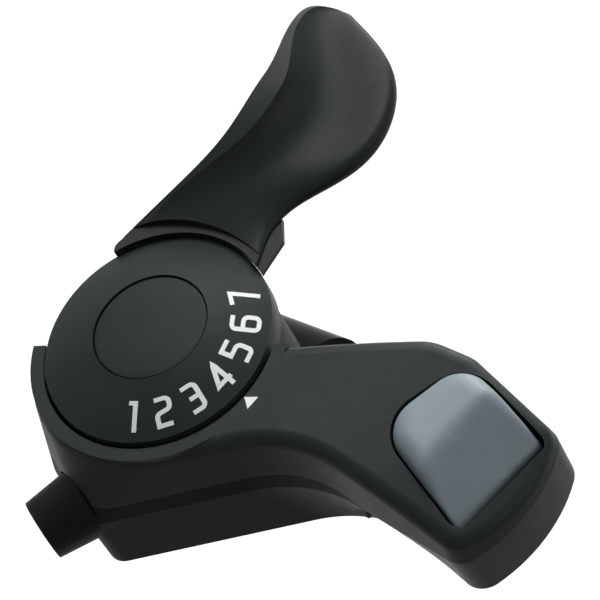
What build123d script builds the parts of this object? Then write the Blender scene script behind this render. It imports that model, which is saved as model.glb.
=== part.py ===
from build123d import *
import os
from math import atan2, cos, degrees, radians, sin, sqrt, tan

# Thumb gear shifter for a straight handlebar. Everything is modelled about the dial axis, with z = 0 at
# the dial's rim, +X along the bar towards the grip and +Y on the lever side. The finished pieces are then
# moved so that the origin lies on the bar's axis, in the middle of the clamp. All lengths are millimetres.

# Handlebar clamp
BAR_RADIUS = 11.1
BAR_OFFSET = 10.6
BAND_THICKNESS = 2.0
BAND_WIDTH = 16.0
EAR_GAP = 4.0
BOLT_OFFSET = 11.3
BOLT_RADIUS = 2.5
BOLT_HEAD_RADIUS = 4.25
BOLT_HEAD_HEIGHT = 3.6
BOLT_SOCKET = 4.0
EAR_MARGIN = 1.0
NUT_SIDE = 8.0
NUT_HEIGHT = 3.4
NUT_ROOF = 0.5

# Dial and lever hub
DIAL_RADIUS = 17.4
DIAL_RISE = 3.1
DIAL_SEAT = 1.4
DIAL_SKIN = 1.3
DIAL_GAP = 0.6
DIAL_BULGE = 0.2
CAP_RADIUS = 8.7
CAP_THICKNESS = 1.1
CAP_CROWN = 0.2
CAP_LEDGE = 0.9
PEG_RADIUS = 0.9
PEG_INSET = 3.35
PEG_COUNT = 3
PEG_START_ANGLE = 30.0
LEVER_PLATE = 2.2
LEVER_GAP = 0.06
HUB_RADIUS = 8.0
DRIVE_WIDTH = 4.0
DRIVE_LENGTH = 12.5
DRIVE_DEPTH = 1.8

# Index positions, in degrees
GEARS = 7
STEP_ANGLE = 19.0
POINTER_ANGLE = -11.0

# Thumb lever sections, one row each: reach from the dial's edge, then x and z of the inboard side, of the
# ridge, of the ridge's foot and of the lip, and the height of the underside
LEVER_STATIONS = [
    (-5.0, -14.7, 1.1, -13.6, 1.2, -8.0, 1.1, 8.0, 1.0, 0.3),
    (-1.0, -12.9, 2.0, -11.6, 2.2, -6.0, 1.8, 8.0, 1.2, 0.3),
    (4.2, -9.2, 4.6, -8.2, 4.7, -3.0, 3.2, 7.0, 1.6, 0.3),
    (10.0, -5.6, 7.2, -3.6, 7.1, 0.3, 4.6, 9.0, 2.2, 0.5),
    (16.2, -3.9, 8.9, -0.5, 8.6, 2.4, 5.4, 13.5, 2.8, 0.9),
    (21.8, -3.6, 9.6, 0.2, 9.5, 3.0, 5.7, 15.3, 3.2, 1.2),
    (27.4, -4.0, 9.6, -1.5, 9.5, 2.2, 5.8, 14.6, 3.6, 1.6),
    (32.4, -5.3, 9.0, -4.1, 8.9, 0.6, 5.9, 11.9, 4.0, 2.2),
    (36.2, -5.8, 7.9, -5.0, 7.8, -0.6, 6.0, 7.2, 4.5, 3.0),
    (38.4, -4.6, 6.8, -4.0, 6.8, -1.0, 5.9, 2.6, 5.0, 3.8),
    (39.3, -2.2, 5.8, -1.8, 5.8, -0.8, 5.6, 0.4, 5.2, 4.5),
]
BACK_LEAN = 0.25
SHELF_PLACE = 0.82
SHELF_CROWN = 0.3
LEDGE_LOW = -0.3
LEDGE_TOP = 1.2
LEDGE_TAIL = [(-14.5, 9.7), (-14.95, 10.8), (-14.5, 12.4), (-13.3, 15.4), (-11.0, 18.2)]
CREST_CENTRE = (-0.5, -4.8)
CREST_RADIUS = 23.4
BLOCK_INNER = 4.5
BLOCK_SIDE = 9.3
BLOCK_REACH = 3.3
BLOCK_NECK = (7.0, 6.6)
WEB_WIDTH = 1.7
WEB_START_ANGLE = 86.0
WEB_END_ANGLE = 141.0

# Housing outline: the rim is its top edge, and the outlet face and the front lean out from it
WALL = 1.8
RIM_WIDTH = 2.0
RIM_END_ANGLE = 203.0
RIM_BULGE = 0.9
RIM_LEAN = 1.9
CORNER_ANGLE = 19.0
OUTLET_ANGLE = 241.0
OUTLET_LEAN = 3.0
OUTLET_EDGE = 1.5
OUTLET_EDGE_ROUND = 5.0
FRONT_ANGLE = -54.5
FRONT_LEAN = 2.1
FRONT_CORNER_ROUND = 3.0
ELBOW_ROUND = 22.0
ARM_LENGTH = 42.7
ARM_NEAR_DROP = 11.2
ARM_NEAR_BACK = 4.3
ARM_NEAR_ROUND = 3.5
ARM_FLARE = -8.0
ARM_FLARE_LOW = -27.0
ARM_FAR_RISE = 16.8
ARM_FAR_BACK = 1.5
ARM_FAR_DROP = 5.2
ARM_FAR_ROUND = 4.0
ARM_CORNER_BACK = 15.8
ARM_CORNER_ROUND = 5.0
ARM_SHOULDER_BACK = 22.8
ARM_SHOULDER_ROUND = 8.0
ARM_LEAN = 1.5

# Housing heights
COVER_DROP = 0.7
CROWN_START = 22.0
CROWN_RADIUS = 106.0
WIDEST_DEPTH = 10.5
PARTING_DEPTH = 8.0
PARTING_BEND = 26.5
PARTING_END = 48.0
CASE_DEPTH = 21.2
ARM_DEPTH = 18.3
FLOOR_STEP_BACK = 16.7
FLOOR_STEP_RUN = 5.5
EDGE_ROUND = 2.2
CROWN_NORMAL = 0.7

# Casing outlet
STUB_LENGTH = 5.9
STUB_BASE_RADIUS = 5.3
STUB_END_RADIUS = 4.65
CASING_RADIUS = 2.6
CASING_DEPTH = 8.0
CABLE_HOLE_RADIUS = 1.1

# Shaft stack, from the case floor upwards
SHAFT_RADIUS = 3.0
SHAFT_THREAD_RADIUS = 2.5
RIVET_RADIUS = 4.0
RIVET_HEIGHT = 1.0
FLANGE_RADIUS = 5.2
FLANGE_THICKNESS = 2.6
THRUST_THICKNESS = 1.1
BUSH_WALL = 1.2
PLATE_LIFT = 0.3
PLATE_THICKNESS = 1.5
PLATE_MARGIN = 2.0
PLATE_ROOM = 0.7
PLATE_BOSS_RADIUS = 6.2
PLATE_BOSS_FLATS = 9.9
INDEX_RADIUS = 12.3
INDEX_HOLE_RADIUS = 1.3
DRUM_HEIGHT = 4.9
DRUM_RADIUS = 10.1
CABLE_RADIUS = 8.75
GROOVE_RADIUS = 0.9
NIPPLE_RADIUS = 2.3
TOP_WASHER_RADIUS = 6.5
TOP_WASHER_THICKNESS = 0.8
TOP_NUT_SIDE = 8.0
TOP_NUT_HEIGHT = 2.1

# Release button, rocker and detent
BUTTON_TOP_DROP = 0.8
BUTTON_LOW_DROP = 8.4
BUTTON_SLOPE = 40.0
BUTTON_SHOULDER = 4.0
BUTTON_EDGE_ROUND = 1.0
BUTTON_DEPTH = 10.2
BUTTON_LEFT = (21.7, 0.8)
BUTTON_FAR = (16.0, 13.4)
BUTTON_RIGHT = (2.5, 8.5)
BUTTON_NEAR = (5.7, -7.0)
BUTTON_LEFT_ROUND = 5.2
BUTTON_FAR_ROUND = 4.6
BUTTON_END_ROUND = 0.8
POCKET_GAP = 1.1
POCKET_COLLAR = 1.5
POCKET_DEPTH = 9.4
ROCKER_PIVOT_X = 31.0
ROCKER_PIVOT_HEIGHT = 4.0
ROCKER_THICKNESS = 1.8
ROCKER_BARREL_RADIUS = 2.6
ROCKER_NEAR = -4.2
ROCKER_FAR = 7.0
FINGER_WIDTH = 3.4
FINGER_REACH = 15.4
PADDLE_BACK = 8.7
PADDLE_WIDTH = 7.0
PADDLE_KEY = 1.2
KEY_LENGTH = 5.0
KEY_WIDTH = 4.0
PIN_RADIUS = 1.5
POST_THICKNESS = 1.8
SPRING_BACK = 14.7
SPRING_Y = 3.0
SPRING_SPIGOT = 1.0
SPRING_RADIUS = 2.8
SPRING_WIRE = 0.3
SPRING_TURNS = 3.5
BLADE_THICKNESS = 0.5
BLADE_WIDTH = 3.2
BLADE_LIFT = 0.7
BLADE_LUG_X = 19.8
BLADE_LUG_Y = -6.6
BLADE_LUG_WIDTH = 4.0
NOSE_RADIUS = 1.15
SCREW_RADIUS = 1.2
SCREW_HEAD_RADIUS = 2.0
SCREW_HEAD_HEIGHT = 1.5
SCREW_BOSS_RADIUS = 2.4
SCREW_ROOF = 3.6
SCREW_OUT = 2.3
SCREW_BESIDE = 7.5
SCREW_PAST = 5.0
SCREW_TIP_GAP = 1.1
POST_HOLE_FLOOR = 1.0

# Fits
RUNNING = 0.04
SLIP = 0.1
LOOSE = 0.3
CUT = 1.0

# Levels and places that follow from the sizes above
RIM_HEIGHT = BAR_RADIUS + BAND_THICKNESS + CASE_DEPTH
RECESS_RADIUS = DIAL_RADIUS + DIAL_GAP
RIM_OUTER_RADIUS = RECESS_RADIUS + RIM_WIDTH
ARM_END = RECESS_RADIUS + ARM_LENGTH
SPRING_X = ARM_END - SPRING_BACK
PADDLE_END = ARM_END - PADDLE_BACK
FLOOR_STEP_END = ARM_END - FLOOR_STEP_BACK
FLOOR_STEP_START = FLOOR_STEP_END - FLOOR_STEP_RUN
PLATE_RADIUS = INDEX_RADIUS + PLATE_MARGIN
CASE_RADIUS = PLATE_RADIUS + PLATE_ROOM + WALL
COVER_TOP = -COVER_DROP
PARTING = -PARTING_DEPTH
BASE = -CASE_DEPTH
FLOOR_TOP = BASE + WALL
ARM_BASE = -ARM_DEPTH
ARM_FLOOR = ARM_BASE + WALL
PLATE_TOP_Z = -DIAL_SEAT
LEVER_LOW = PLATE_TOP_Z - LEVER_PLATE
CASE_RIM = LEVER_LOW - LOOSE - SLIP
FLANGE_TOP = FLOOR_TOP + FLANGE_THICKNESS
DRUM_LOW = FLANGE_TOP + THRUST_THICKNESS
INDEX_LOW = DRUM_LOW + PLATE_LIFT
INDEX_TOP = INDEX_LOW + PLATE_THICKNESS
DRUM_TOP = INDEX_TOP + DRUM_HEIGHT
CABLE_Z = INDEX_TOP + DRUM_HEIGHT / 2
BUSH_RADIUS = SHAFT_RADIUS + RUNNING + BUSH_WALL
SHOULDER = PLATE_TOP_Z + SLIP
TOP_NUT_LOW = SHOULDER + TOP_WASHER_THICKNESS
BLADE_LOW = INDEX_TOP + BLADE_LIFT
PIVOT_Z = FLOOR_TOP + ROCKER_PIVOT_HEIGHT
FINGER_TOP = BLADE_LOW - LOOSE
PADDLE_TOP = -BUTTON_DEPTH
NOSE_X = INDEX_RADIUS * cos(radians(POINTER_ANGLE))
NOSE_Y = INDEX_RADIUS * sin(radians(POINTER_ANGLE))
SCREW_PLACES = [
    (2.5, -RECESS_RADIUS - SCREW_OUT),
    (RECESS_RADIUS + SCREW_BESIDE, 6.0),
    (ROCKER_PIVOT_X + SCREW_PAST, 9.6),
]
FAR = 100.0
ON_BASE = (Align.CENTER, Align.CENTER, Align.MIN)
BELOW_TOP = (Align.CENTER, Align.CENTER, Align.MAX)


def polar(radius, angle):
    """Point at a radius and an angle, in degrees, about the dial axis."""
    return (radius * cos(radians(angle)), radius * sin(radians(angle)))


def meet(angle_a, distance_a, angle_b, distance_b):
    """Point where two lines cross, each given by its normal's angle and its distance from the dial axis."""
    ax, ay = polar(1, angle_a)
    bx, by = polar(1, angle_b)
    cross = ax * by - ay * bx
    return ((distance_a * by - distance_b * ay) / cross, (ax * distance_b - bx * distance_a) / cross)


def prism(face, low, high):
    """Upright solid over a flat face, from one level to another."""
    return Pos(0, 0, low) * extrude(face, high - low)


def slab_along_y(face, near, far):
    """Solid over a face drawn in x and z, between two places along Y."""
    return Pos(0, far, 0) * extrude(Plane.XZ * face, far - near)


def slab_along_x(face, start, end):
    """Solid over a face drawn in y and z, between two places along X."""
    return Pos(start, 0, 0) * extrude(Plane.YZ * face, end - start)


def disc(radius, low, high, place=(0, 0)):
    """Upright cylinder between two levels."""
    return Pos(place[0], place[1], low) * Cylinder(radius, high - low, align=ON_BASE)


def ring(inner, outer, low, high):
    """Upright tube between two levels."""
    return disc(outer, low, high) - disc(inner, low, high)


def sector(start_angle, end_angle):
    """Wedge-shaped face from the dial axis, wide enough to cover the part."""
    middle = (start_angle + end_angle) / 2
    corners = [(0, 0), polar(FAR, start_angle), polar(FAR, middle), polar(FAR, end_angle)]
    return make_face(Polyline(*corners, close=True))


def round_corner(face, corner, radius):
    """The same face with the corner nearest to a point rounded."""
    place = Vector(corner[0], corner[1], 0)
    vertex = min(face.vertices(), key=lambda v: (Vector(v.X, v.Y, v.Z) - place).length)
    return fillet(vertex, radius)


def housing_outline(lean, flare):
    """Plan outline of the housing at one level. A lean of 0 is the top edge and 1 the widest level."""
    outlet = RIM_OUTER_RADIUS + lean * OUTLET_LEAN
    front = RIM_OUTER_RADIUS + lean * FRONT_LEAN
    edge = OUTLET_EDGE * (2 * lean - 1)
    inset = (1 - lean) * ARM_LEAN
    front_round = RIM_OUTER_RADIUS + lean * (FRONT_CORNER_ROUND - RIM_OUTER_RADIUS)
    rim_end = polar(RIM_OUTER_RADIUS + lean * RIM_LEAN, RIM_END_ANGLE)
    along = polar(1, OUTLET_ANGLE)
    across = polar(1, OUTLET_ANGLE + 90)
    outlet_edge = (along[0] * outlet + across[0] * edge, along[1] * outlet + across[1] * edge)
    front_corner = meet(OUTLET_ANGLE, outlet, FRONT_ANGLE, front)
    near_end = (ARM_END - ARM_NEAR_BACK - inset, inset - ARM_NEAR_DROP)
    near_normal = polar(1, flare - 90)
    near_distance = near_end[0] * near_normal[0] + near_end[1] * near_normal[1]
    elbow = meet(FRONT_ANGLE, front, flare - 90, near_distance)
    far_end = (ARM_END - ARM_FAR_BACK - inset, ARM_FAR_RISE - ARM_FAR_DROP - inset)
    end_middle = (ARM_END - inset, (near_end[1] + far_end[1]) / 2)
    far_corner = (ARM_END - ARM_CORNER_BACK - inset, ARM_FAR_RISE - inset)
    far_shoulder = (ARM_END - ARM_SHOULDER_BACK - inset / 2, ARM_FAR_RISE - inset)
    inner_corner = polar(RECESS_RADIUS, CORNER_ANGLE)
    chord = (outlet_edge[0] - rim_end[0], outlet_edge[1] - rim_end[1])
    chord_length = sqrt(chord[0] ** 2 + chord[1] ** 2)
    rim_middle = (
        (rim_end[0] + outlet_edge[0]) / 2 + chord[1] / chord_length * RIM_BULGE,
        (rim_end[1] + outlet_edge[1]) / 2 - chord[0] / chord_length * RIM_BULGE,
    )
    edges = ThreePointArc(rim_end, rim_middle, outlet_edge)
    edges += Polyline(outlet_edge, front_corner, elbow, near_end)
    edges += ThreePointArc(near_end, end_middle, far_end)
    far_run = (inner_corner[0] - far_shoulder[0], inner_corner[1] - far_shoulder[1])
    step = RECESS_RADIUS / 2 / sqrt(far_run[0] ** 2 + far_run[1] ** 2)
    far_inside = (inner_corner[0] + far_run[0] * step, inner_corner[1] + far_run[1] * step)
    turn_inside = (far_inside[0] - far_run[1] * step, far_inside[1] + far_run[0] * step)
    rim_inside = polar(RECESS_RADIUS - 2 * RIM_WIDTH, RIM_END_ANGLE)
    edges += Polyline(far_end, far_corner, far_shoulder, far_inside, turn_inside, rim_inside, rim_end)
    face = make_face(edges)
    rounds = [
        (outlet_edge, OUTLET_EDGE_ROUND),
        (front_corner, front_round),
        (elbow, ELBOW_ROUND),
        (near_end, ARM_NEAR_ROUND),
        (far_end, ARM_FAR_ROUND),
        (far_corner, ARM_CORNER_ROUND),
        (far_shoulder, ARM_SHOULDER_ROUND),
    ]
    for corner, radius in rounds:
        face = round_corner(face, corner, radius)
    return face


def housing_block(wall):
    """Solid of the whole housing through its three outlines, each drawn in by a wall thickness."""
    levels = [(BASE, 1, ARM_FLARE_LOW), (-WIDEST_DEPTH, 1, ARM_FLARE), (COVER_TOP, 0, ARM_FLARE)]
    faces = []
    for level, lean, flare in levels:
        faces.append(Pos(0, 0, level) * offset(housing_outline(lean, flare), -wall))
    return loft(faces, ruled=True)


def button_corners():
    """Corners of the button in plan: left, far, right and near."""
    corners = [BUTTON_LEFT, BUTTON_FAR, BUTTON_RIGHT, BUTTON_NEAR]
    return [(ARM_END - back, y) for back, y in corners]


def button_outline():
    """Plan outline of the release button."""
    corners = button_corners()
    rounds = [BUTTON_LEFT_ROUND, BUTTON_FAR_ROUND, BUTTON_END_ROUND, BUTTON_END_ROUND]
    face = make_face(Polyline(*corners, close=True))
    for corner, radius in zip(corners, rounds):
        face = round_corner(face, corner, radius)
    return face


def crown_level(x, drop=0.0):
    """Height of the cover's crown at a place along the arm."""
    run = x - CROWN_START
    return COVER_TOP - drop - CROWN_RADIUS + sqrt(CROWN_RADIUS**2 - run**2)


def cover_profile(drop, parting_shift):
    """Side profile of the cover in x and z, between its crown and the parting line."""
    end = ARM_END + WALL
    crown_end = (end, crown_level(end, drop))
    low = PARTING - parting_shift
    foot = ARM_BASE - parting_shift
    edges = Line((-FAR, COVER_TOP - drop), (CROWN_START, COVER_TOP - drop))
    edges += TangentArc((CROWN_START, COVER_TOP - drop), crown_end, tangent=(1, 0))
    edges += Polyline(crown_end, (end, foot), (PARTING_END, foot))
    edges += TangentArc((PARTING_BEND, low), (PARTING_END, foot), tangent=(1, 0))
    edges += Polyline((PARTING_BEND, low), (-FAR, low), (-FAR, COVER_TOP - drop))
    return make_face(edges)


def floor_profile(lift):
    """Side profile of the space over the case's underside, raised by the floor's thickness."""
    corners = [
        (-FAR, BASE + lift),
        (FLOOR_STEP_START, BASE + lift),
        (FLOOR_STEP_END, ARM_BASE + lift),
        (FAR, ARM_BASE + lift),
        (FAR, FAR),
        (-FAR, FAR),
    ]
    return make_face(Polyline(*corners, close=True))


def outlet_axis(distance):
    """Plane across the casing outlet, at a distance from the dial axis, with its normal outwards."""
    along = polar(1, OUTLET_ANGLE)
    across = polar(CABLE_RADIUS, OUTLET_ANGLE + 90)
    origin = (along[0] * distance + across[0], along[1] * distance + across[1], CABLE_Z)
    return Plane(origin=origin, x_dir=(-along[1], along[0], 0), z_dir=(along[0], along[1], 0))


def outlet_stub(clearance):
    """Tapered stub of the casing outlet, from inside the wall to its end."""
    start = RIM_OUTER_RADIUS + OUTLET_LEAN - WALL
    taper = (STUB_BASE_RADIUS - STUB_END_RADIUS) / STUB_LENGTH
    start_radius = STUB_BASE_RADIUS + taper * WALL + clearance
    length = STUB_LENGTH + WALL
    return outlet_axis(start) * Cone(start_radius, STUB_END_RADIUS + clearance, length, align=ON_BASE)


def crown_edges(shape):
    """Edges round the outside of the cover's crown."""
    tops = [face for face in shape.faces() if face.normal_at().Z > CROWN_NORMAL]
    edges = []
    for edge in shape.edges():
        spot = edge.position_at(0.5)
        shared = sum(1 for face in tops if any(edge.is_same(other) for other in face.edges()))
        if shared == 1 and sqrt(spot.X**2 + spot.Y**2) > RECESS_RADIUS:
            edges.append(edge)
    return edges


def upper_cover():
    """Moulded top shell, open underneath, with the dial's rim and the button pocket."""
    shape = housing_block(0) & slab_along_y(cover_profile(0, 0), -FAR, FAR)
    shape = fillet(crown_edges(shape), EDGE_ROUND)
    button = button_outline()
    hollow = housing_block(WALL) & slab_along_y(cover_profile(WALL, FAR), -FAR, FAR)
    collar = prism(offset(button, POCKET_GAP + POCKET_COLLAR), -POCKET_DEPTH, FAR) & shape
    rim = ring(RECESS_RADIUS, RIM_OUTER_RADIUS, COVER_TOP - EDGE_ROUND, COVER_TOP)
    shell = shape - hollow + collar
    shell += rim & prism(sector(RIM_END_ANGLE, CORNER_ANGLE + 360), COVER_TOP - EDGE_ROUND, COVER_TOP)
    for place in SCREW_PLACES:
        shell += disc(SCREW_BOSS_RADIUS, -FAR, COVER_TOP, place) & shape
    shell -= prism(offset(button, POCKET_GAP), -FAR, FAR)
    shell -= disc(RECESS_RADIUS, -FAR, FAR)
    shell -= outlet_stub(LOOSE)
    for place in SCREW_PLACES:
        shell -= disc(SCREW_RADIUS + RUNNING, -FAR, COVER_TOP - SCREW_ROOF, place)
    return shell


def lower_case():
    """Moulded tray under the mechanism, with the casing outlet, the posts and the floor of the arm."""
    outside = housing_block(0) + disc(CASE_RADIUS, BASE, PARTING)
    inside = housing_block(WALL) + disc(CASE_RADIUS - WALL, BASE, COVER_TOP)
    body = outside & slab_along_y(floor_profile(0), -FAR, FAR)
    over_parting = slab_along_y(cover_profile(-FAR, 0), -FAR, FAR)
    body -= over_parting
    body -= inside & slab_along_y(floor_profile(WALL), -FAR, FAR)
    tongue = housing_block(WALL + SLIP) & slab_along_y(floor_profile(0), -FAR, FAR)
    body += tongue - slab_along_y(floor_profile(WALL), -FAR, FAR)
    open_side = prism(sector(CORNER_ANGLE, RIM_END_ANGLE), PARTING, CASE_RIM)
    body += ring(CASE_RADIUS - WALL, CASE_RADIUS, PARTING, CASE_RIM) & open_side
    body += outlet_stub(0)
    for place in SCREW_PLACES:
        body += disc(SCREW_BOSS_RADIUS, FLOOR_TOP, COVER_TOP, place) - over_parting
    nut_pocket_top = BASE + NUT_HEIGHT + SLIP
    nut_boss = Rectangle(NUT_SIDE + 2 * WALL, NUT_SIDE + 2 * WALL)
    body += Pos(0, -BOLT_OFFSET, 0) * prism(nut_boss, FLOOR_TOP, nut_pocket_top + NUT_ROOF)
    blade_post = Rectangle(BLADE_LUG_WIDTH, BLADE_LUG_WIDTH)
    body += Pos(BLADE_LUG_X, BLADE_LUG_Y, 0) * prism(blade_post, FLOOR_TOP, BLADE_LOW)
    body -= prism(offset(blade_plan(), SLIP), BLADE_LOW, COVER_TOP)
    room_start = (FINGER_REACH - LOOSE, FLOOR_TOP)
    room_end = ROCKER_PIVOT_X + ROCKER_BARREL_RADIUS + LOOSE
    room = Rectangle(room_end - room_start[0], PADDLE_TOP - FLOOR_TOP, align=(Align.MIN, Align.MIN))
    body -= slab_along_y(Pos(*room_start) * room, ROCKER_NEAR - LOOSE, ROCKER_NEAR + FINGER_WIDTH)
    for near in (ROCKER_NEAR - LOOSE - POST_THICKNESS, ROCKER_FAR + LOOSE):
        post = Pos(ROCKER_PIVOT_X, 0) * rocker_post()
        body += slab_along_y(post, near, near + POST_THICKNESS)
    spigot_radius = SPRING_RADIUS - 2 * SPRING_WIRE - SLIP
    body += disc(spigot_radius, ARM_FLOOR, ARM_FLOOR + SPRING_SPIGOT, (SPRING_X, SPRING_Y))
    body -= disc(SHAFT_RADIUS + RUNNING, -FAR, FAR)
    nut_pocket = Rectangle(NUT_SIDE + 2 * SLIP, NUT_SIDE + 2 * SLIP)
    body -= Pos(0, -BOLT_OFFSET, 0) * prism(nut_pocket, BASE - CUT, nut_pocket_top)
    for place in SCREW_PLACES:
        body -= disc(SCREW_RADIUS + SLIP, BASE - CUT, FAR, place)
        body -= disc(SCREW_HEAD_RADIUS + SLIP, BASE - CUT, BASE + SCREW_HEAD_HEIGHT, place)
    body -= disc(SCREW_RADIUS + RUNNING, FLOOR_TOP + POST_HOLE_FLOOR, FAR, (BLADE_LUG_X, BLADE_LUG_Y))
    pin_bore = Pos(ROCKER_PIVOT_X, PIVOT_Z) * Circle(PIN_RADIUS + RUNNING)
    pin_reach = LOOSE + POST_THICKNESS
    body -= slab_along_y(pin_bore, ROCKER_NEAR - pin_reach, ROCKER_FAR + pin_reach)
    stub_end = RIM_OUTER_RADIUS + OUTLET_LEAN + STUB_LENGTH
    body -= outlet_axis(stub_end) * Cylinder(CASING_RADIUS, CASING_DEPTH, align=BELOW_TOP)
    return body - outlet_axis(stub_end) * Cylinder(CABLE_HOLE_RADIUS, 2 * CASING_DEPTH, align=BELOW_TOP)


def rocker_post():
    """Round-topped post that carries one end of the rocker's pin, in x and z."""
    half = PIN_RADIUS + POST_THICKNESS
    sides = Pos(0, (FLOOR_TOP + PIVOT_Z) / 2) * Rectangle(2 * half, PIVOT_Z - FLOOR_TOP)
    return sides + Pos(0, PIVOT_Z) * Circle(half)


def clamp_band():
    """Bent steel band: a flat tongue under the case that runs round the bar and ends in a bolted ear."""
    centre = (BAR_OFFSET, BASE - BAND_THICKNESS - BAR_RADIUS)
    outer = BAR_RADIUS + BAND_THICKNESS
    loop = Pos(*centre) * (Circle(outer) - Circle(BAR_RADIUS))
    tongue_end = -BOLT_OFFSET - BOLT_HEAD_RADIUS - EAR_MARGIN
    tongue_low = BASE - BAND_THICKNESS
    ear_top = tongue_low - EAR_GAP
    gap = Pos((centre[0] + tongue_end - FAR) / 2, (tongue_low + ear_top) / 2)
    loop -= gap * Rectangle(centre[0] - tongue_end + FAR, EAR_GAP)
    loop -= Pos(centre[0] / 2 - FAR / 2 + BAR_OFFSET / 2, tongue_low + FAR / 2) * Rectangle(FAR, FAR)
    reach = centre[0] - tongue_end
    tongue = Pos(tongue_end, tongue_low) * Rectangle(reach, BAND_THICKNESS, align=(Align.MIN, Align.MIN))
    ear_middle = ear_top - BAND_THICKNESS / 2
    ear_root = centre[0] - sqrt((BAR_RADIUS + BAND_THICKNESS / 2) ** 2 - (ear_middle - centre[1]) ** 2)
    ear_reach = ear_root - tongue_end
    ear = Pos(tongue_end, ear_top) * Rectangle(ear_reach, BAND_THICKNESS, align=(Align.MIN, Align.MAX))
    profile = loop + tongue + ear
    band = slab_along_x(profile, -BAND_WIDTH / 2, BAND_WIDTH / 2)
    end_middle = tongue_end + BAND_WIDTH / 2
    plan = Pos(0, end_middle) * Rectangle(BAND_WIDTH, FAR, align=(Align.CENTER, Align.MIN))
    plan += Pos(0, end_middle) * Circle(BAND_WIDTH / 2)
    band &= prism(plan, -FAR, FAR)
    band -= disc(SHAFT_RADIUS + RUNNING, tongue_low - CUT, BASE + CUT)
    sink = Cone(RIVET_RADIUS + RUNNING, SHAFT_RADIUS + RUNNING, RIVET_HEIGHT, align=ON_BASE)
    band -= Pos(0, 0, tongue_low) * sink
    return band - disc(BOLT_RADIUS + SLIP, ear_top - BAND_THICKNESS - CUT, BASE + CUT, (0, -BOLT_OFFSET))


def clamp_bolt():
    """Socket head screw, head under the ear and thread up into the square nut."""
    seat = BASE - 2 * BAND_THICKNESS - EAR_GAP
    tip = BASE + NUT_HEIGHT - SLIP
    place = (0, -BOLT_OFFSET)
    bolt = disc(BOLT_RADIUS, seat, tip, place)
    bolt += disc(BOLT_HEAD_RADIUS, seat - BOLT_HEAD_HEIGHT, seat, place)
    socket = RegularPolygon(BOLT_SOCKET / 2, 6, major_radius=False)
    socket = prism(socket, seat - BOLT_HEAD_HEIGHT - CUT, seat - BOLT_HEAD_HEIGHT / 2)
    return bolt - Pos(0, -BOLT_OFFSET, 0) * socket


def clamp_nut():
    """Square nut caught between the tongue and the case floor."""
    nut = prism(Rectangle(NUT_SIDE, NUT_SIDE), BASE, BASE + NUT_HEIGHT)
    return Pos(0, -BOLT_OFFSET, 0) * (nut - disc(BOLT_RADIUS + RUNNING, BASE - CUT, 0))


def pivot_shaft():
    """Turned shaft, riveted into the band's tongue, with a flange on the floor and a thread at the top."""
    low = BASE - BAND_THICKNESS
    rivet = Cone(RIVET_RADIUS, SHAFT_RADIUS, RIVET_HEIGHT, align=ON_BASE)
    shaft = Pos(0, 0, low) * rivet + disc(SHAFT_RADIUS, low, SHOULDER)
    shaft += disc(FLANGE_RADIUS, FLOOR_TOP, FLANGE_TOP)
    return shaft + disc(SHAFT_THREAD_RADIUS, SHOULDER, TOP_NUT_LOW + TOP_NUT_HEIGHT)


def thrust_washer():
    """Washer between the shaft's flange and the drum."""
    return ring(SHAFT_RADIUS + RUNNING, FLANGE_RADIUS, FLANGE_TOP, DRUM_LOW)


def shaft_washer():
    """Washer clamped on the shaft's shoulder, over the lever's hub."""
    return ring(SHAFT_THREAD_RADIUS + RUNNING, TOP_WASHER_RADIUS, SHOULDER, TOP_NUT_LOW)


def shaft_nut():
    """Thin hexagon nut on top of the shaft."""
    hexagon = RegularPolygon(TOP_NUT_SIDE / 2, 6, major_radius=False)
    nut = prism(hexagon, TOP_NUT_LOW, TOP_NUT_LOW + TOP_NUT_HEIGHT)
    return nut - disc(SHAFT_THREAD_RADIUS + RUNNING, -FAR, FAR)


def hub_bush():
    """Plain bush pressed in the drum and the lever hub, running on the shaft."""
    return ring(SHAFT_RADIUS + RUNNING, BUSH_RADIUS, DRUM_LOW, PLATE_TOP_Z)


def cable_drum():
    """Drum with a cable groove, a pocket for the cable's end and a slot for the lever's drive key."""
    body = disc(DRUM_RADIUS, INDEX_TOP, DRUM_TOP) + disc(PLATE_BOSS_RADIUS, DRUM_LOW, INDEX_TOP)
    groove = Pos(CABLE_RADIUS, CABLE_Z) * Circle(GROOVE_RADIUS)
    groove_mouth = Rectangle(2 * (DRUM_RADIUS - CABLE_RADIUS), 2 * GROOVE_RADIUS)
    groove += Pos(DRUM_RADIUS, CABLE_Z) * groove_mouth
    body -= revolve(Plane.XZ * groove, Axis.Z)
    flats = Rectangle(FAR, PLATE_BOSS_FLATS)
    body &= prism(Rectangle(FAR, FAR), INDEX_TOP, DRUM_TOP) + prism(flats, DRUM_LOW, INDEX_TOP)
    pocket = polar(CABLE_RADIUS - NIPPLE_RADIUS / 2, OUTLET_ANGLE - 180)
    body -= disc(NIPPLE_RADIUS, CABLE_Z - NIPPLE_RADIUS, CABLE_Z + NIPPLE_RADIUS, pocket)
    slot = Rectangle(DRIVE_LENGTH + 2 * SLIP, DRIVE_WIDTH + 2 * SLIP)
    body -= prism(slot, DRUM_TOP - DRIVE_DEPTH - SLIP, FAR)
    return body - disc(BUSH_RADIUS + RUNNING, -FAR, FAR)


def index_plate():
    """Steel plate under the drum, with one hole for each gear."""
    plate = disc(PLATE_RADIUS, INDEX_LOW, INDEX_TOP)
    seat = Circle(PLATE_BOSS_RADIUS + RUNNING)
    seat &= Rectangle(FAR, PLATE_BOSS_FLATS + 2 * RUNNING)
    plate -= prism(seat, INDEX_LOW - CUT, INDEX_TOP + CUT)
    for gear in range(GEARS):
        turn = POINTER_ANGLE + (gear - (GEARS - 1) / 2) * STEP_ANGLE
        plate -= disc(INDEX_HOLE_RADIUS, INDEX_LOW - CUT, INDEX_TOP + CUT, polar(INDEX_RADIUS, turn))
    return plate


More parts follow.
